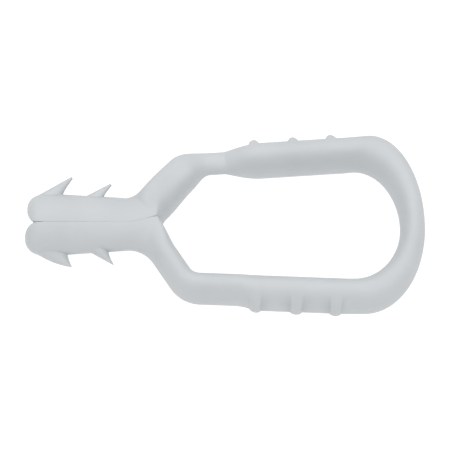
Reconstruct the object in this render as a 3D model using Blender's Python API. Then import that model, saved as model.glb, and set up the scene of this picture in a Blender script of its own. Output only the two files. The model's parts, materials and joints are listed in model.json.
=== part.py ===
"""Push-in wall anchor with a cable loop: one nylon moulding, divided where it bends.

The anchor lies flat. X runs along the shank, from its split tip at -X to the loop at +X. Y runs across the
loop, with the fixed side at -Y and the swing side, which has the thin neck, at +Y. Z is up, through the depth
of the moulding. The origin is on the floor under the middle of the anchor's length.

The moulding is a strap that starts as one half of the round shank, goes round the loop and ends as the other
half. Each piece of it is a loft over sections. A section stands between two rails: the inner rail faces the
loop, or the other half of the shank, and the outer rail faces away from it.
"""

import math
from collections import namedtuple

import bmesh
import bpy
from mathutils import Vector

MM = 0.001

# Driving dimensions, in millimetres and degrees.
LENGTH = 50.6
STRAP_DEPTH = 6.8
STRAP_WIDTH = 3.2
GRIP_WIDTH = 3.8
NECK_WIDTH = 2.85
SHANK_TIP_DEPTH = 7.5
SHANK_ROOT_DEPTH = 6.7
SHANK_SPLIT = 0.3
SEAM = 0.3
FLEX_GAP = 0.8
BARB_GAP = 0.3

FIXED, SWING = -1, 1
LEG_TIP_X = {FIXED: -LENGTH / 2, SWING: 0.28 - LENGTH / 2}
LEG_TIP_WIDTH = {FIXED: 3.85, SWING: 3.68}
LEG_ROOT_WIDTH = {FIXED: 3.45, SWING: 3.28}
SHANK_END_X = {FIXED: -11.9, SWING: -12.3}
CROTCH_X = {FIXED: -8.35, SWING: -8.5}
ARM_ANGLE = {FIXED: 59.3, SWING: 48.1}
ARM_WIDTH = {FIXED: 3.2, SWING: 4.4}
ARM_FILLET = {FIXED: 3.8, SWING: 2.9}
ELBOW = {FIXED: (-4.8, 8.84), SWING: (-4.25, 8.23)}
ELBOW_REACH = {FIXED: (1.9, 1.9), SWING: (1.6, 2.2)}
BAR_ANGLE = {FIXED: 2.3, SWING: 4.0}
GRIP_START_X = {FIXED: -1.7, SWING: 0.0}
GRIP_END_X = 15.3
RIB_X = {FIXED: (3.8, 8.97, 13.88), SWING: (3.78, 8.8, 13.65)}
RIB_HEIGHT = {FIXED: 0.62, SWING: 0.8}
RIB_HALF_LENGTH = {FIXED: 0.82, SWING: 0.72}
NECK_FLEX_X = -3.2
CROWN_FLEX_TURN = 38.0
FLEX_RADIUS = 8.6
BOW_MIDDLE_Y = -0.45
BOW_INNER = {FIXED: (16.0, 6.15, 7.55), SWING: (16.0, 6.15, 8.2)}
BOW_OUTER = {FIXED: (18.0, 7.3, 11.4), SWING: (18.4, 6.9, 12.2)}
RING_POINTS = 20
MIDDLE_Z = SHANK_TIP_DEPTH / 2 * math.cos(math.pi / RING_POINTS)
NYLON = (0.62, 0.64, 0.65)

# Each barb: where its leading face and its back leave the leg, the x and y of its edge, and its root's depth.
BARBS = {
    FIXED: ((-23.2, -19.9, (-19.42, 5.5), 3.8), (-17.0, -14.8, (-14.15, 5.2), 3.3)),
    SWING: ((-23.2, -20.3, (-19.35, 5.95), 3.8), (-17.4, -15.3, (-14.37, 5.12), 3.3)),
}

# The pieces that move together. The rest of them stay with the fixed side.
MOVING = {
    "crown": ("crown",),
    "swing_side": ("swing_bend", "swing_grip", "neck"),
    "swing_leg": ("swing_arm", "swing_leg", "swing_front_barb", "swing_rear_barb"),
}

# A section's shape: where it is deepest, as a share of its width from the inner rail, and how square its inner
# and outer halves are. A power of 2 is an ellipse.
OVAL = (0.5, 2.2, 2.2)
ROUND = (0.5, 2.0, 2.0)
HALF_ROUND = (0.18, 3.6, 2.0)
BLOCK = (0.5, 3.2, 3.2)

Section = namedtuple("Section", "inner outer heading depth shape")


def mix(a, b, share):
    """The value a given share of the way from a to b."""
    return a + (b - a) * share


def section(inner, outer, heading, depth, shape):
    """A section between two points on its rails. heading is the strap's direction, and depth its full depth."""
    return Section(Vector(inner), Vector(outer), math.radians(heading), depth, shape)


def direction(side, angle):
    """A unit vector turned outward from +X by an angle."""
    turn = math.radians(angle)
    return Vector((math.cos(turn), side * math.sin(turn)))


def outward(side, angle):
    """The direction square to the one above, away from the loop's middle."""
    turn = math.radians(angle)
    return Vector((-math.sin(turn), side * math.cos(turn)))


def across(centre, side, angle, width, depth, shape, growth=0.0):
    """A section square to the strap and centred on a point. growth adds to the outer side only."""
    out = outward(side, angle)
    inner = centre - out * width / 2
    return section(inner, centre + out * (width / 2 + growth), side * angle, depth, shape)


def rail_point(start, end, turns, t):
    """A point on a rail between two sections: a Hermite curve that is close to an arc."""
    reach = (end - start).length / math.cos((turns[1] - turns[0]) / 4) ** 2
    leave, arrive = (Vector((math.cos(turn), math.sin(turn))) * reach for turn in turns)
    return (
        start * (2 * t**3 - 3 * t**2 + 1)
        + leave * (t**3 - 2 * t**2 + t)
        + end * (3 * t**2 - 2 * t**3)
        + arrive * (t**3 - t**2)
    )


def bend(first, last, steps):
    """The sections that lead from one section to another one, without the first."""
    row = []
    turns = (first.heading, last.heading)
    for i in range(steps):
        t = (i + 1) / steps
        ease = t * t * (3 - 2 * t)
        shape = [mix(a, b, ease) for a, b in zip(first.shape, last.shape)]
        depth = mix(first.depth, last.depth, ease)
        inner = rail_point(first.inner, last.inner, turns, t)
        outer = rail_point(first.outer, last.outer, turns, t)
        row.append(Section(inner, outer, mix(*turns, t), depth, shape))
    return row


def ring(item):
    """The points round a section."""
    crest_share, inner_power, outer_power = item.shape
    width = item.outer - item.inner
    crest = item.inner + width * crest_share
    points = []
    for i in range(RING_POINTS):
        angle = 2 * math.pi * (i + 0.5) / RING_POINTS
        along, up = math.cos(angle), math.sin(angle)
        power = outer_power if along > 0 else inner_power
        reach = 1 - crest_share if along > 0 else crest_share
        flat = crest + width * math.copysign(reach * abs(along) ** (2 / power), along)
        height = MIDDLE_Z + item.depth / 2 * math.copysign(abs(up) ** (2 / power), up)
        points.append(Vector((flat.x, flat.y, height)) * MM)
    return points


def loft(name, sections, collection):
    """A closed body over a row of sections."""
    bm = bmesh.new()
    rings = [[bm.verts.new(point) for point in ring(item)] for item in sections]
    for here, there in zip(rings, rings[1:]):
        for i in range(RING_POINTS):
            j = (i + 1) % RING_POINTS
            bm.faces.new((here[i], here[j], there[j], there[i]))
    bm.faces.new(rings[0])
    bm.faces.new(rings[-1])
    bmesh.ops.recalc_face_normals(bm, faces=bm.faces)
    mesh = bpy.data.meshes.new(name)
    bm.to_mesh(mesh)
    bm.free()
    made = bpy.data.objects.new(name, mesh)
    collection.objects.link(made)
    return made


def nylon(item, colour):
    """Gives a piece its own material, a milky polymer."""
    material = bpy.data.materials.new(f"{item.name}_nylon")
    material.use_nodes = True
    shader = material.node_tree.nodes["Principled BSDF"]
    shader.inputs["Base Color"].default_value = (*colour, 1.0)
    shader.inputs["Roughness"].default_value = 0.42
    shader.inputs["Metallic"].default_value = 0.0
    item.data.materials.append(material)


def put_pivot(item, centre):
    """Moves a piece's origin on to the axis of its joint and leaves its shape where it is."""
    pivot = Vector((centre.x, centre.y, MIDDLE_Z)) * MM
    for vertex in item.data.vertices:
        vertex.co -= pivot
    item.location = pivot


def eased(value, start, end):
    """0 before start, 1 after end and a smooth ramp between them."""
    share = min(max((value - start) / (end - start), 0.0), 1.0)
    return share * share * (3 - 2 * share)


def toward_tip(x):
    """0 at the shank's root and 1 at its barbs."""
    return min(max((x + 12.0) / -8.5, 0.0), 1.0)


def leg_width(x, side):
    """Half of the shank is slightly thicker at its barbs than at its root."""
    return mix(LEG_ROOT_WIDTH[side], LEG_TIP_WIDTH[side], toward_tip(x))


def leg_section(x, side, grow=0.0):
    """Half of the round shank. grow makes it larger on every side."""
    depth = mix(SHANK_ROOT_DEPTH, SHANK_TIP_DEPTH, toward_tip(x)) + 2 * grow
    inner = (x, side * (SHANK_SPLIT / 2 - grow))
    return section(inner, (x, side * (leg_width(x, side) + grow)), 0, depth, HALF_ROUND)


def leg_sections(side, end_x, grow=0.0):
    """A leg of the shank, from its rounded point to end_x."""
    tip_x = LEG_TIP_X[side]
    inner_round, outer_round, crest_y = 1.0, 1.7, side * 1.85
    full = leg_section(tip_x + outer_round, side, grow)
    row = []
    for turn in (82, 64, 46, 28, 12):
        wide, far = math.cos(math.radians(turn)), 1 - math.sin(math.radians(turn))
        inner = (tip_x - grow + inner_round * far, mix(crest_y, full.inner.y, wide))
        outer = (tip_x - grow + outer_round * far, mix(crest_y, full.outer.y, wide))
        row.append(section(inner, outer, 0, full.depth * wide, HALF_ROUND))
    for x in (tip_x + outer_round, -20.5, -16.5, end_x):
        row.append(leg_section(x, side, grow))
    return row


def shoulder_sections(side, start_x):
    """Where a leg turns out into its arm: a sharp corner at the crotch and a hollow fillet outside it."""
    angle, width, fillet = ARM_ANGLE[side], ARM_WIDTH[side], ARM_FILLET[side]
    along, out = direction(side, angle), outward(side, angle)
    crotch = Vector((CROTCH_X[side], side * SHANK_SPLIT / 2))
    centre_y = side * (LEG_ROOT_WIDTH[side] + fillet)
    centre_x = crotch.x + (width + fillet - (centre_y - crotch.y) * out.y) / out.x
    centre = Vector((centre_x, centre_y))
    row = [leg_section(start_x, side)]
    for share in (0.25, 0.5, 0.75, 1.0):
        outer = centre - outward(side, angle * share) * fillet
        if share < 0.5:
            inner = row[0].inner.lerp(crotch, share / 0.5)
        else:
            inner = crotch + along * (outer - crotch).dot(along) * (share - 0.5) / 0.5
        shape = [mix(a, b, share) for a, b in zip(HALF_ROUND, OVAL)]
        row.append(section(inner, outer, side * angle * share, STRAP_DEPTH, shape))
    return row


def elbow_sections(side, bar_width, bar_depth, bar_shape):
    """The bend from an arm into its bar."""
    corner = Vector((ELBOW[side][0], side * ELBOW[side][1]))
    arm, bar = ARM_ANGLE[side], BAR_ANGLE[side]
    arm_width = mix(ARM_WIDTH[side], bar_width, 0.12)
    arm_depth = mix(STRAP_DEPTH, bar_depth, 0.3)
    reach = ELBOW_REACH[side]
    start = across(corner - direction(side, arm) * reach[0], side, arm, arm_width, arm_depth, OVAL)
    end = across(corner + direction(side, bar) * reach[1], side, bar, bar_width, bar_depth, bar_shape)
    return [start] + bend(start, end, 5)


def bar_centre(x, side):
    """The middle of a bar. It is on a straight line through its elbow."""
    elbow_x, elbow_y = ELBOW[side]
    return Vector((x, side * (elbow_y + (x - elbow_x) * math.tan(math.radians(BAR_ANGLE[side])))))


def bar_section(x, side, width=STRAP_WIDTH, depth=STRAP_DEPTH, shape=OVAL, growth=0.0):
    """A section of the straight part of a side."""
    return across(bar_centre(x, side), side, BAR_ANGLE[side], width, depth, shape, growth)


def grip_section(x, side, rib=0.0):
    """A section of the thicker stretch that fingers hold. rib adds to its outer side."""
    if side == FIXED:
        growth = (GRIP_WIDTH - STRAP_WIDTH) * eased(x, 1.4, 4.6) + rib
        return bar_section(x, side, growth=growth)
    swell = math.sin(math.pi / 2 * min(max(x / 4.7, 0.0), 1.0))
    width = mix(NECK_WIDTH, GRIP_WIDTH, swell)
    depth = mix(NECK_WIDTH, STRAP_DEPTH, swell)
    shape = [mix(a, b, swell) for a, b in zip(ROUND, OVAL)]
    return bar_section(x, side, width, depth, shape, rib)


def grip_sections(side):
    """The grip with its three ribs, from its start to the bow."""
    half = RIB_HALF_LENGTH[side]
    stations = [(x, 0.0) for x in (GRIP_START_X[side], 0.8, 1.7)]
    for rib_x in RIB_X[side]:
        for turn in (-90, -60, -25, 25, 60, 90):
            angle = math.radians(turn)
            stations.append((rib_x + half * math.sin(angle), RIB_HEIGHT[side] * math.cos(angle)))
    stations.append((GRIP_END_X - SEAM / 2, 0.0))
    return [grip_section(x, side, rib) for x, rib in stations]


def bow_section(side, turn):
    """A section of the bow. turn is 0 degrees at the crown and 90 where the bow leaves the straight."""
    angle = math.radians(turn)
    rails = []
    for centre_x, long, wide in (BOW_INNER[side], BOW_OUTER[side]):
        rails.append((centre_x + long * math.cos(angle), BOW_MIDDLE_Y + side * wide * math.sin(angle)))
    return section(*rails, 0, STRAP_DEPTH, OVAL)


def bend_sections(side):
    """The quarter of the bow between a grip and the crown."""
    start = bar_section(GRIP_END_X + SEAM / 2, side, GRIP_WIDTH)
    if side == FIXED:
        start = grip_section(GRIP_END_X + SEAM / 2, side)
    gap = math.degrees(FLEX_GAP / 2 / FLEX_RADIUS)
    turns = [90, 80, 70, 60, 50, CROWN_FLEX_TURN + gap]
    return [start] + [bow_section(side, turn) for turn in turns]


def crown_sections():
    """The middle of the bow, between its two bending places."""
    gap = math.degrees(FLEX_GAP / 2 / FLEX_RADIUS)
    end = CROWN_FLEX_TURN - gap
    turns = (end, end * 0.66, end * 0.33)
    row = [bow_section(FIXED, turn) for turn in turns]
    row.append(bow_section(SWING, 0))
    return row + [bow_section(SWING, turn) for turn in reversed(turns)]


def sunk_line(edge, root, depth):
    """The point on the line from a barb's edge through its root that is a given depth below the root."""
    step = root - edge
    return root + step * depth / abs(step.y)


def barb(name, side, root_x, tail_x, edge, depth, collection, cutters):
    """A tooth on the outside of a leg. It leans back from the tip of the shank to its own edge."""
    edge = Vector((edge[0], side * edge[1]))
    lead = sunk_line(edge, Vector((root_x, side * leg_width(root_x, side))), 0.35)
    tail = sunk_line(edge, Vector((tail_x, side * leg_width(tail_x, side))), 0.35)
    back = edge + (lead - edge).normalized() * 0.35
    root = section(tail, lead, 0, depth, BLOCK)
    tooth = loft(name, [root, section(edge, back, 0, depth * 0.5, BLOCK)], collection)
    space = loft(f"{name}_space", leg_sections(side, -12.8, BARB_GAP), cutters)
    space.hide_render = True
    space.display_type = "WIRE"
    cut = tooth.modifiers.new("leg_space", "BOOLEAN")
    cut.operation = "DIFFERENCE"
    cut.solver = "EXACT"
    cut.object = space
    return tooth


def flex_centre(side):
    """The middle of the bow where it bends between a side and the crown."""
    place = bow_section(side, CROWN_FLEX_TURN)
    return (place.inner + place.outer) / 2


def pivots():
    """Where each moving body bends away from the one before it."""
    return {
        "crown": flex_centre(FIXED),
        "swing_side": flex_centre(SWING),
        "swing_leg": bar_centre(NECK_FLEX_X, SWING),
    }


def clear_scene():
    """Removes what the scene starts with."""
    for item in list(bpy.data.objects):
        bpy.data.objects.remove(item)


def new_collection(name):
    """A collection in the scene."""
    made = bpy.data.collections.new(name)
    bpy.context.scene.collection.children.link(made)
    return made


def build_side(side, prefix, parts, cutters):
    """One half of the shank with its barbs, its arm and its grip."""
    start_x = SHANK_END_X[side]
    pieces = [loft(f"{prefix}_leg", leg_sections(side, start_x - SEAM / 2), parts)]
    front, rear = BARBS[side]
    pieces.append(barb(f"{prefix}_front_barb", side, *front, parts, cutters))
    pieces.append(barb(f"{prefix}_rear_barb", side, *rear, parts, cutters))
    arm = shoulder_sections(side, start_x + SEAM / 2)
    if side == FIXED:
        arm += elbow_sections(side, STRAP_WIDTH, STRAP_DEPTH, OVAL)
        arm.append(bar_section(GRIP_START_X[side] - SEAM, side))
    else:
        arm += elbow_sections(side, NECK_WIDTH, NECK_WIDTH, ROUND)[:-1]
        arm.append(bar_section(NECK_FLEX_X - FLEX_GAP / 2, side, NECK_WIDTH, NECK_WIDTH, ROUND))
    pieces.append(loft(f"{prefix}_arm", arm, parts))
    pieces.append(loft(f"{prefix}_grip", grip_sections(side), parts))
    pieces.append(loft(f"{prefix}_bend", bend_sections(side), parts))
    return pieces


def main():
    clear_scene()
    parts = new_collection("wall_anchor")
    cutters = new_collection("cutters")
    pieces = build_side(FIXED, "fixed", parts, cutters) + build_side(SWING, "swing", parts, cutters)
    neck = [bar_section(x, SWING, NECK_WIDTH, NECK_WIDTH, ROUND)
            for x in (NECK_FLEX_X + FLEX_GAP / 2, -SEAM)]
    pieces.append(loft("neck", neck, parts))
    pieces.append(loft("crown", crown_sections(), parts))
    for piece in pieces:
        nylon(piece, NYLON)
        for body, pivot in pivots().items():
            if piece.name in MOVING[body]:
                put_pivot(piece, pivot)


main()
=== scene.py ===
"""Looks of the wall anchor: one milky nylon moulding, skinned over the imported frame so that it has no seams.

Lengths are in millimetres here, and they become metres where a mesh or a blend is made. The anchor lies
flat: its shank points to -X and its loop to +X. The fixed side is at -Y. The swing side, with the neck, is
at +Y.
"""

import json
import math
from collections import namedtuple

import bmesh
import bpy
from mathutils import Matrix, Vector


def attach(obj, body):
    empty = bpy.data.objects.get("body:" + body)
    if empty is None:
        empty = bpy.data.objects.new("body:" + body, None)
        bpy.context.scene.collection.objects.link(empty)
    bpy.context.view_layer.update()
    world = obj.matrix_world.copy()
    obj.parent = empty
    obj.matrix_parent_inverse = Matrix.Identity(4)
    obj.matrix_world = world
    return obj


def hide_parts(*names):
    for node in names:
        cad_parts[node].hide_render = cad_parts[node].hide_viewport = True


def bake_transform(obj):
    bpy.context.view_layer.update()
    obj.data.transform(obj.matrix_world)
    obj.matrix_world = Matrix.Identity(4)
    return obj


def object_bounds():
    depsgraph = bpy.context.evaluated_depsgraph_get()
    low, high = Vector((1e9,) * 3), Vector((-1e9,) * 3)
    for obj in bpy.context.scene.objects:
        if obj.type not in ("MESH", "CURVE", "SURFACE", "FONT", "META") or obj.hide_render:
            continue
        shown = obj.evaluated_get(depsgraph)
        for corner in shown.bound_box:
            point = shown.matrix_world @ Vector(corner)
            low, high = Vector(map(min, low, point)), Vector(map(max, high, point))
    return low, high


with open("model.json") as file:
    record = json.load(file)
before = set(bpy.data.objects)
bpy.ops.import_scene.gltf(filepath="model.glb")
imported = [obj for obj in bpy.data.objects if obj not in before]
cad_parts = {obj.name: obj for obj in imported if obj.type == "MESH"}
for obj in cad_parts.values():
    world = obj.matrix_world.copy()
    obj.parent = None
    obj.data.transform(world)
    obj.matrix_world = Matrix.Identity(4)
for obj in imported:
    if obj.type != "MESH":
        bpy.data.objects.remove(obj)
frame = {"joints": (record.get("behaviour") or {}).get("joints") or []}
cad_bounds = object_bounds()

MM = 0.001
FIXED, SWING = -1, 1
RING_POINTS = 96

# The joints and the frame's extent.
JOINTS = {joint["name"]: Vector(joint["pos_m"]) / MM for joint in frame["joints"]}
TIP_X = cad_bounds[0].x / MM
CROWN_X = cad_bounds[1].x / MM
MIDDLE_Z = JOINTS["neck_flex"].z

# The strap that the loop is made of. Its depth is along Z.
STRAP_DEPTH = 6.75
STRAP_WIDTH = 3.2
GRIP_WIDTH = 3.8
NECK_WIDTH = 2.85

# The two halves of the shank. They change from root to tip between the two x values of LEG_TAPER_X. A
# negative SPLIT makes them overlap a little, so that no gap shows at their crease.
LEG_TIP_WIDTH = {FIXED: 3.95, SWING: 3.74}
LEG_ROOT_WIDTH = {FIXED: 3.38, SWING: 3.26}
LEG_TIP_DEPTH = 7.4
LEG_ROOT_DEPTH = 6.7
LEG_TAPER_X = (-12.0, -20.5)
TIP_INNER_ROUND = {FIXED: 2.0, SWING: 1.4}
TIP_OUTER_ROUND = 2.0
TIP_CREST_Y = 2.0
TIP_SETBACK = {FIXED: 0.0, SWING: 0.28}
TIP_LOBE_LENGTH = 3.0
SPLIT = -0.1

# The shank is turned about its own axis by this many degrees up to the first x, and not after the second.
SHANK_TWIST = 19.0
SHANK_TWIST_X = (-12.5, -6.5)

# The slanting arms, from the crotch to the elbows. ELBOW is the corner of the strap's middle line, and
# ELBOW_REACH is how far its bend reaches along the arm and along the bar. Where the bend starts, the arm's
# width and depth have already come a share of the way to the bar's.
CROTCH_X = {FIXED: -8.42, SWING: -8.55}
ARM_ANGLE = {FIXED: 58.7, SWING: 48.1}
ARM_WIDTH = {FIXED: 3.2, SWING: 4.4}
ARM_FILLET = {FIXED: 3.8, SWING: 2.9}
ELBOW = {FIXED: (-4.8, 8.8), SWING: (-4.25, 8.23)}
ELBOW_REACH = {FIXED: (1.65, 1.65), SWING: (1.9, 2.3)}
ELBOW_WIDTH_SHARE = 0.12
ELBOW_DEPTH_SHARE = 0.3
BAR_ANGLE = {FIXED: 2.3, SWING: 4.0}

# The straight sides. The fixed one thickens between the two x values of GRIP_SWELL_X, and the other one
# opens from the neck like a funnel. A rib fades away from the strap's outer edge with a power of RIB_FADE.
NECK_START_X = -1.9
GRIP_START_X = {FIXED: -1.5, SWING: 0.0}
GRIP_END_X = 15.3
GRIP_SWELL_X = (1.4, 4.6)
FUNNEL_LENGTH = 4.7
RIB_X = {FIXED: (3.8, 8.97, 13.88), SWING: (3.78, 8.8, 13.65)}
RIB_HEIGHT = {FIXED: 0.58, SWING: 0.92}
RIB_HALF_LENGTH = {FIXED: 0.74, SWING: 0.64}
RIB_FADE = 5.0

# The bow's rails are quarter ellipses: the x of the centre, the length along X and the reach along Y.
BOW_MIDDLE_Y = -0.45
BOW_INNER = {FIXED: (16.0, 6.15, 7.55), SWING: (16.35, 5.8, 8.25)}
BOW_OUTER = {FIXED: (17.6, CROWN_X - 17.6, 11.35), SWING: (18.7, CROWN_X - 18.7, 12.25)}

# LEG_LAST_SECTION is the section of the arm where the swing leg's skin stops and the neck's starts.
LEG_LAST_SECTION = 5

# A barb's depth shrinks by BARB_TAPER from root to edge. Its back is hollow and starts below the surface.
BARB_TAPER = 0.65
BARB_TAIL_SUNK = 0.8
BARB_HOLLOW = (-0.12, 0.06)

# Each barb: the x of its leading face's root and how far that is below the leg's surface, the x of its
# back's root, its edge's x and y, its root's depth, its edge's thickness and its leading face's bulge.
Barb = namedtuple("Barb", "root_x root_sunk tail_x edge depth blunt bulge")
BARBS = {
    FIXED: {
        "front": Barb(-24.2, 0.35, -20.0, (-19.42, 5.5), 3.5, 0.12, 0.3),
        "rear": Barb(-17.6, 0.45, -14.9, (-14.15, 5.2), 3.7, 0.12, 0.0),
    },
    SWING: {
        "front": Barb(-24.3, 0.45, -20.9, (-19.45, 6.0), 2.2, 0.3, 0.0),
        "rear": Barb(-18.3, 0.45, -15.7, (-14.5, 5.15), 2.0, 0.3, 0.0),
    },
}

# A section's shape: where it is deepest, as a share of its width from the inner rail, and how square its
# inner and outer parts are. A power of 2 is an ellipse.
OVAL = (0.5, 2.15, 2.15)
ROUND = (0.5, 2.0, 2.0)
HALF_ROUND = (0.05, 8.0, 2.0)
LOBE = (0.2, 3.0, 2.0)
FLATTENED = (0.5, 2.8, 2.8)
TOOTH = (0.5, 2.3, 2.3)

ARM_SHAPE = {FIXED: OVAL, SWING: FLATTENED}

# The nylon: its darkest and lightest tone, and its least and greatest roughness. A gloss of 0.5 would leave
# the reflection as the IOR gives it, and less makes it weaker.
NYLON_TONES = ((0.576, 0.602, 0.617, 1), (0.609, 0.635, 0.650, 1))
NYLON_ROUGHNESS = (0.50, 0.60)
NYLON_IOR = 1.53
NYLON_GLOSS = 0.15

# The studio. The sky's strength is a direction's dot product with SKY_SLOPE, plus SKY_LEVEL, and at least
# SKY_LEAST.
SKY_SLOPE = (0.0, 0.1, 2.6)
SKY_LEVEL = -0.75
SKY_LEAST = 0.42
TABLE_SIZE_M = 1.6
TABLE_GREY = 0.15
TABLE_GLOW = 0.95

# The camera. PICTURE_WIDTH is what the picture spans at the anchor, and AIM_Y is where it aims.
CAMERA_ELEVATION = 66.0
CAMERA_DISTANCE_M = 0.30
SENSOR_WIDTH = 36.0
PICTURE_WIDTH = 56.962
AIM_Y = -0.14

# A section's heading is in radians here. rib is how far a rib stands out of its outer side.
Section = namedtuple("Section", "inner outer heading depth shape rib", defaults=(0.0,))


def mix(a, b, share):
    """A number between two others."""
    return a + (b - a) * share


def eased(value, start, end):
    """0 before start, 1 after end and a smooth ramp between them."""
    share = min(max((value - start) / (end - start), 0.0), 1.0)
    return share * share * (3 - 2 * share)


def stretch(start, end, count):
    """Evenly spaced numbers from start to end."""
    return [mix(start, end, i / (count - 1)) for i in range(count)]


def section(inner, outer, heading, depth, shape):
    """A section between two points on its rails. heading is the strap's direction in degrees."""
    return Section(Vector(inner), Vector(outer), math.radians(heading), depth, shape)


def direction(side, angle):
    """A unit vector turned outward from +X by an angle."""
    turn = math.radians(angle)
    return Vector((math.cos(turn), side * math.sin(turn)))


def outward(side, angle):
    """The direction square to the one above, away from the loop's middle."""
    turn = math.radians(angle)
    return Vector((-math.sin(turn), side * math.cos(turn)))


def across(centre, side, angle, width, depth, shape, growth=0.0):
    """A section square to the strap and centred on a point. growth adds to the outer side only."""
    out = outward(side, angle)
    return section(centre - out * width / 2, centre + out * (width / 2 + growth), side * angle, depth, shape)


def rail_point(start, end, turns, t):
    """A point on a rail between two sections: a Hermite curve that is close to an arc."""
    reach = (end - start).length / math.cos((turns[1] - turns[0]) / 4) ** 2
    leave, arrive = (Vector((math.cos(turn), math.sin(turn))) * reach for turn in turns)
    return (
        start * (2 * t**3 - 3 * t**2 + 1)
        + leave * (t**3 - 2 * t**2 + t)
        + end * (3 * t**2 - 2 * t**3)
        + arrive * (t**3 - t**2)
    )


def bend(first, last, steps):
    """The sections that lead from one section to another one, without the first."""
    row = []
    turns = (first.heading, last.heading)
    for i in range(steps):
        t = (i + 1) / steps
        ease = eased(t, 0, 1)
        shape = [mix(a, b, ease) for a, b in zip(first.shape, last.shape)]
        inner = rail_point(first.inner, last.inner, turns, t)
        outer = rail_point(first.outer, last.outer, turns, t)
        row.append(Section(inner, outer, mix(*turns, t), mix(first.depth, last.depth, ease), shape))
    return row


def twist(point):
    """Turns a point of the shank about the shank's axis. Past the arms' roots nothing turns."""
    angle = SHANK_TWIST * (1 - eased(point.x, *SHANK_TWIST_X))
    across_axis = Vector((point.y, point.z - MIDDLE_Z))
    across_axis.rotate(Matrix.Rotation(math.radians(angle), 2))
    return Vector((point.x, across_axis.x, across_axis.y + MIDDLE_Z))


def ring(item):
    """The points round a section."""
    crest_share, inner_power, outer_power = item.shape
    width = item.outer - item.inner
    crest = item.inner + width * crest_share
    points = []
    for i in range(RING_POINTS):
        angle = 2 * math.pi * i / RING_POINTS
        along, up = math.cos(angle), math.sin(angle)
        power = outer_power if along > 0 else inner_power
        reach = 1 - crest_share if along > 0 else crest_share
        flat = crest + width * math.copysign(reach * abs(along) ** (2 / power), along)
        height = MIDDLE_Z + item.depth / 2 * math.copysign(abs(up) ** (2 / power), up)
        flat += width.normalized() * item.rib * max(along, 0.0) ** RIB_FADE
        points.append(twist(Vector((flat.x, flat.y, height))) * MM)
    return points


def loft(name, sections, material):
    """A smooth closed body over a row of sections."""
    bm = bmesh.new()
    rings = [[bm.verts.new(point) for point in ring(item)] for item in sections]
    for here, there in zip(rings, rings[1:]):
        for i in range(RING_POINTS):
            j = (i + 1) % RING_POINTS
            bm.faces.new((here[i], here[j], there[j], there[i])).smooth = True
    for end in (rings[0], rings[-1]):
        for edge in bm.faces.new(end).edges:
            edge.smooth = False
    bmesh.ops.recalc_face_normals(bm, faces=bm.faces)
    mesh = bpy.data.meshes.new(name)
    bm.to_mesh(mesh)
    bm.free()
    mesh.materials.append(material)
    made = bpy.data.objects.new(name, mesh)
    bpy.context.scene.collection.objects.link(made)
    return made


def toward_tip(x):
    """0 at the shank's root and 1 at its barbs."""
    start, end = LEG_TAPER_X
    return min(max((x - start) / (end - start), 0.0), 1.0)


def leg_width(x, side):
    """Half of the shank is slightly thicker at its barbs than at its root."""
    return mix(LEG_ROOT_WIDTH[side], LEG_TIP_WIDTH[side], toward_tip(x))


def leg_section(x, side):
    """Half of the round shank. Its mating edge is rounder towards the tip."""
    depth = mix(LEG_ROOT_DEPTH, LEG_TIP_DEPTH, toward_tip(x))
    lobed = 1 - eased(x, TIP_X, TIP_X + TIP_LOBE_LENGTH)
    shape = [mix(a, b, lobed) for a, b in zip(HALF_ROUND, LOBE)]
    return section((x, side * SPLIT / 2), (x, side * leg_width(x, side)), 0, depth, shape)


def leg_sections(side, end_x):
    """A leg of the shank, from its rounded point to end_x."""
    tip_x = TIP_X + TIP_SETBACK[side]
    round_end_x = tip_x + TIP_OUTER_ROUND
    crest_y = side * TIP_CREST_Y
    full = leg_section(round_end_x, side)
    row = []
    # The first turn is a little short of 90 degrees, so that the first section isn't a single point.
    for turn in stretch(89, 0, count=24):
        wide = math.cos(math.radians(turn))
        far = 1 - math.sin(math.radians(turn))
        inner = (tip_x + TIP_INNER_ROUND[side] * far, mix(crest_y, full.inner.y, wide))
        outer = (tip_x + TIP_OUTER_ROUND * far, mix(crest_y, full.outer.y, wide))
        row.append(section(inner, outer, 0, full.depth * wide, full.shape))
    return row + [leg_section(x, side) for x in stretch(round_end_x + 0.3, end_x, count=40)]


def shoulder_sections(side):
    """Where a leg turns out into its arm: a sharp corner at the crotch and a hollow fillet outside it."""
    angle, width, fillet = ARM_ANGLE[side], ARM_WIDTH[side], ARM_FILLET[side]
    along, out = direction(side, angle), outward(side, angle)
    crotch = Vector((CROTCH_X[side], side * SPLIT / 2))
    centre_y = side * (LEG_ROOT_WIDTH[side] + fillet)
    centre_x = crotch.x + (width + fillet - (centre_y - crotch.y) * out.y) / out.x
    centre = Vector((centre_x, centre_y))
    start = leg_section(centre_x, side)
    row = [start]
    for share in stretch(0, 1, count=21)[1:]:
        outer = centre - outward(side, angle * share) * fillet
        if share < 0.5:
            inner = start.inner.lerp(crotch, share * 2)
        else:
            inner = crotch + along * (outer - crotch).dot(along) * (share * 2 - 1)
        # The crest and the inner edge change late, which keeps the crease closed up to the crotch.
        turned = (eased(share, 0.3, 1), eased(share, 0.5, 1), eased(share, 0, 1))
        shape = [mix(a, b, t) for a, b, t in zip(HALF_ROUND, ARM_SHAPE[side], turned)]
        depth = mix(start.depth, STRAP_DEPTH, eased(share, 0, 1))
        row.append(section(inner, outer, side * angle * share, depth, shape))
    return row


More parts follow.
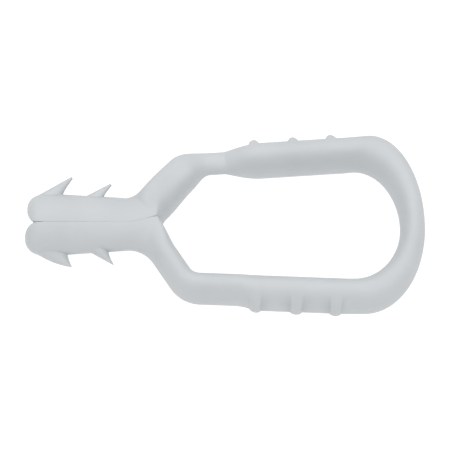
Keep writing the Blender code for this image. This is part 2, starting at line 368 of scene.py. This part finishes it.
def elbow_sections(side, bar_width, bar_depth, bar_shape):
    """The bend from an arm into its bar."""
    corner = Vector((ELBOW[side][0], side * ELBOW[side][1]))
    arm, bar = ARM_ANGLE[side], BAR_ANGLE[side]
    arm_width = mix(ARM_WIDTH[side], bar_width, ELBOW_WIDTH_SHARE)
    arm_depth = mix(STRAP_DEPTH, bar_depth, ELBOW_DEPTH_SHARE)
    reach = ELBOW_REACH[side]
    leave = corner - direction(side, arm) * reach[0]
    arrive = corner + direction(side, bar) * reach[1]
    start = across(leave, side, arm, arm_width, arm_depth, ARM_SHAPE[side])
    end = across(arrive, side, bar, bar_width, bar_depth, bar_shape)
    return start, bend(start, end, steps=18)


def bar_centre(x, side):
    """The middle of a bar. It is on a straight line through its elbow."""
    elbow_x, elbow_y = ELBOW[side]
    return Vector((x, side * (elbow_y + (x - elbow_x) * math.tan(math.radians(BAR_ANGLE[side])))))


def bar_section(x, side, width=STRAP_WIDTH, depth=STRAP_DEPTH, shape=OVAL, growth=0.0):
    """A section of the straight part of a side."""
    return across(bar_centre(x, side), side, BAR_ANGLE[side], width, depth, shape, growth)


def grip_section(x, side, rib=0.0):
    """A section of the thicker stretch that fingers hold. rib adds to its outer side."""
    if side == FIXED:
        growth = (GRIP_WIDTH - STRAP_WIDTH) * eased(x, *GRIP_SWELL_X)
        return bar_section(x, side, growth=growth)._replace(rib=rib)
    swell = math.sin(math.pi / 2 * min(max(x / FUNNEL_LENGTH, 0.0), 1.0))
    width = mix(NECK_WIDTH, GRIP_WIDTH, swell)
    depth = mix(NECK_WIDTH, STRAP_DEPTH, swell)
    shape = [mix(a, b, swell) for a, b in zip(ROUND, OVAL)]
    return bar_section(x, side, width, depth, shape)._replace(rib=rib)


def grip_sections(side):
    """The grip with its three ribs, up to the bow."""
    half = RIB_HALF_LENGTH[side]
    first_rib_start = RIB_X[side][0] - half
    stations = [(x, 0.0) for x in stretch(GRIP_START_X[side], first_rib_start - 0.1, count=30)]
    for rib_x in RIB_X[side]:
        for turn in stretch(-90, 90, count=21):
            angle = math.radians(turn)
            stations.append((rib_x + half * math.sin(angle), RIB_HEIGHT[side] * math.cos(angle)))
    stations.append((GRIP_END_X, 0.0))
    return [grip_section(x, side, rib) for x, rib in stations]


def bow_section(side, turn):
    """A section of the bow. turn is 0 degrees at the crown and 90 where the bow leaves the straight."""
    angle = math.radians(turn)
    rails = []
    for centre_x, long, wide in (BOW_INNER[side], BOW_OUTER[side]):
        rails.append((centre_x + long * math.cos(angle), BOW_MIDDLE_Y + side * wide * math.sin(angle)))
    return section(*rails, 0, STRAP_DEPTH, OVAL)


def bow_sections(side):
    """Half of the bow, from the grip to the crown."""
    return [grip_section(GRIP_END_X, side)] + [bow_section(side, turn) for turn in stretch(90, 0, count=46)]


def sunk(x, side, depth):
    """A point below the outside of a leg, where a barb starts."""
    return Vector((x, side * (leg_width(x, side) - depth)))


def barb(side, place, body, node, material):
    """A tooth on the outside of a leg. It leans back from the tip of the shank to its own edge."""
    shape = BARBS[side][place]
    edge = Vector((shape.edge[0], side * shape.edge[1]))
    lead = sunk(shape.root_x, side, shape.root_sunk)
    tail = sunk(shape.tail_x, side, BARB_TAIL_SUNK)
    slant = (edge - lead).normalized()
    back = edge + Vector((side * slant.y, -side * slant.x)) * shape.blunt
    hollow = Vector((BARB_HOLLOW[0], side * BARB_HOLLOW[1]))
    bulge = Vector((0, side * shape.bulge))
    row = []
    for t in stretch(0, 1, count=16):
        middle = math.sin(math.pi * t)
        inner = tail.lerp(back, t) + hollow * middle
        outer = lead.lerp(edge, t) + bulge * middle
        row.append(section(inner, outer, 0, shape.depth * (1 - BARB_TAPER * t), TOOTH))
    tooth = loft(f"{node}_skin", row, material)
    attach(tooth, body)
    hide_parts(node)


def nylon():
    """Milky nylon with a soft sheen. Its tone drifts a little and its surface is very slightly uneven."""
    material = bpy.data.materials.new("milky_nylon")
    material.use_nodes = True
    tree = material.node_tree
    shader = tree.nodes["Principled BSDF"]
    shader.inputs["IOR"].default_value = NYLON_IOR
    shader.inputs["Specular IOR Level"].default_value = NYLON_GLOSS
    place = tree.nodes.new("ShaderNodeTexCoord")

    clouds = tree.nodes.new("ShaderNodeTexNoise")
    clouds.inputs["Scale"].default_value = 160.0
    clouds.inputs["Detail"].default_value = 3.0
    tone = tree.nodes.new("ShaderNodeValToRGB")
    for stop, position, color in zip(tone.color_ramp.elements, (0.3, 0.7), NYLON_TONES):
        stop.position = position
        stop.color = color
    tree.links.new(place.outputs["Object"], clouds.inputs["Vector"])
    tree.links.new(clouds.outputs["Fac"], tone.inputs["Fac"])
    tree.links.new(tone.outputs["Color"], shader.inputs["Base Color"])

    rough = tree.nodes.new("ShaderNodeMapRange")
    rough.inputs["To Min"].default_value = NYLON_ROUGHNESS[0]
    rough.inputs["To Max"].default_value = NYLON_ROUGHNESS[1]
    tree.links.new(clouds.outputs["Fac"], rough.inputs["Value"])
    tree.links.new(rough.outputs["Result"], shader.inputs["Roughness"])

    grain = tree.nodes.new("ShaderNodeTexNoise")
    grain.inputs["Scale"].default_value = 2600.0
    grain.inputs["Detail"].default_value = 2.0
    bump = tree.nodes.new("ShaderNodeBump")
    bump.inputs["Strength"].default_value = 0.06
    bump.inputs["Distance"].default_value = 0.00005
    tree.links.new(place.outputs["Object"], grain.inputs["Vector"])
    tree.links.new(grain.outputs["Fac"], bump.inputs["Height"])
    tree.links.new(bump.outputs["Normal"], shader.inputs["Normal"])
    return material


def fixed_side_skin(material):
    """The rigid side: its half of the shank, its arm and its grip."""
    elbow_start, elbow = elbow_sections(FIXED, STRAP_WIDTH, STRAP_DEPTH, OVAL)
    shoulder = shoulder_sections(FIXED)
    row = leg_sections(FIXED, shoulder[0].inner.x)[:-1] + shoulder
    row += [elbow_start] + elbow + grip_sections(FIXED)
    side = loft("fixed_side_skin", row, material)
    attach(side, "fixed_side")
    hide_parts("fixed_leg", "fixed_arm", "fixed_grip")


def swing_side_skins(material):
    """The side with the neck: its half of the shank with most of the arm, the neck and the grip."""
    elbow_start, elbow = elbow_sections(SWING, NECK_WIDTH, NECK_WIDTH, ROUND)
    shoulder = shoulder_sections(SWING)
    arm_end = bend(shoulder[-1], elbow_start, steps=12)
    row = leg_sections(SWING, shoulder[0].inner.x)[:-1] + shoulder + arm_end[: LEG_LAST_SECTION + 1]
    leg = loft("swing_leg_skin", row, material)
    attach(leg, "swing_leg")
    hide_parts("swing_leg", "swing_arm")

    neck_x = stretch(NECK_START_X, GRIP_START_X[SWING], count=12)
    neck_end = [bar_section(x, SWING, NECK_WIDTH, NECK_WIDTH, ROUND) for x in neck_x]
    neck = loft("neck_skin", arm_end[LEG_LAST_SECTION:] + elbow + neck_end, material)
    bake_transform(neck)
    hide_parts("neck")

    grip = loft("swing_grip_skin", grip_sections(SWING), material)
    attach(grip, "swing_side")
    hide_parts("swing_grip")


def bow_skin(side, body, joint, material, *nodes):
    """Half of the bow, from its side's grip to the crown."""
    bow = loft(f"{nodes[0]}_skin", bow_sections(side), material)
    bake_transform(bow)
    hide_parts(*nodes)


def build_skins(material):
    """The moulding's skin, in pieces, most of which follow one body."""
    fixed_side_skin(material)
    swing_side_skins(material)
    bow_skin(FIXED, "fixed_side", "fixed_bow_flex", material, "fixed_bend", "crown")
    bow_skin(SWING, "swing_side", "swing_bow_flex", material, "swing_bend")
    for side, body, prefix in ((FIXED, "fixed_side", "fixed"), (SWING, "swing_leg", "swing")):
        for place in BARBS[side]:
            barb(side, place, body, f"{prefix}_{place}_barb", material)


def white_table():
    """The bright table that the anchor lies on. It lights the anchor from below like white paper."""
    material = bpy.data.materials.new("white_table")
    material.use_nodes = True
    shader = material.node_tree.nodes["Principled BSDF"]
    shader.inputs["Base Color"].default_value = (TABLE_GREY, TABLE_GREY, TABLE_GREY, 1)
    shader.inputs["Emission Color"].default_value = (1, 1, 1, 1)
    shader.inputs["Emission Strength"].default_value = TABLE_GLOW
    bpy.ops.mesh.primitive_plane_add(size=TABLE_SIZE_M)
    table = bpy.context.object
    table.name = "white_table"
    table.data.materials.append(material)


def studio():
    """Even light from a bright ceiling that dims towards the horizon."""
    world = bpy.data.worlds.new("studio")
    bpy.context.scene.world = world
    world.use_nodes = True
    tree = world.node_tree
    place = tree.nodes.new("ShaderNodeTexCoord")
    slope = tree.nodes.new("ShaderNodeVectorMath")
    slope.operation = "DOT_PRODUCT"
    slope.inputs[1].default_value = SKY_SLOPE
    level = tree.nodes.new("ShaderNodeMath")
    level.operation = "ADD"
    level.inputs[1].default_value = SKY_LEVEL
    least = tree.nodes.new("ShaderNodeMath")
    least.operation = "MAXIMUM"
    least.inputs[1].default_value = SKY_LEAST
    tree.links.new(place.outputs["Generated"], slope.inputs[0])
    tree.links.new(slope.outputs["Value"], level.inputs[0])
    tree.links.new(level.outputs["Value"], least.inputs[0])
    tree.links.new(least.outputs["Value"], tree.nodes["Background"].inputs["Strength"])
    tree.nodes["Background"].inputs["Color"].default_value = (1, 1, 1, 1)


def camera():
    """A camera that looks down on the anchor from its near side."""
    lens = bpy.data.cameras.new("camera")
    lens.sensor_width = SENSOR_WIDTH
    lens.lens = SENSOR_WIDTH * CAMERA_DISTANCE_M / (PICTURE_WIDTH * MM)
    made = bpy.data.objects.new("camera", lens)
    bpy.context.scene.collection.objects.link(made)
    elevation = math.radians(CAMERA_ELEVATION)
    back = Vector((0, -math.cos(elevation), math.sin(elevation)))
    made.location = Vector((0, AIM_Y, MIDDLE_Z)) * MM + back * CAMERA_DISTANCE_M
    made.rotation_mode = "QUATERNION"
    made.rotation_quaternion = (-back).to_track_quat("-Z", "Y")
    bpy.context.scene.camera = made


build_skins(nylon())
white_table()
studio()
camera()
bpy.context.scene.view_settings.view_transform = "Standard"
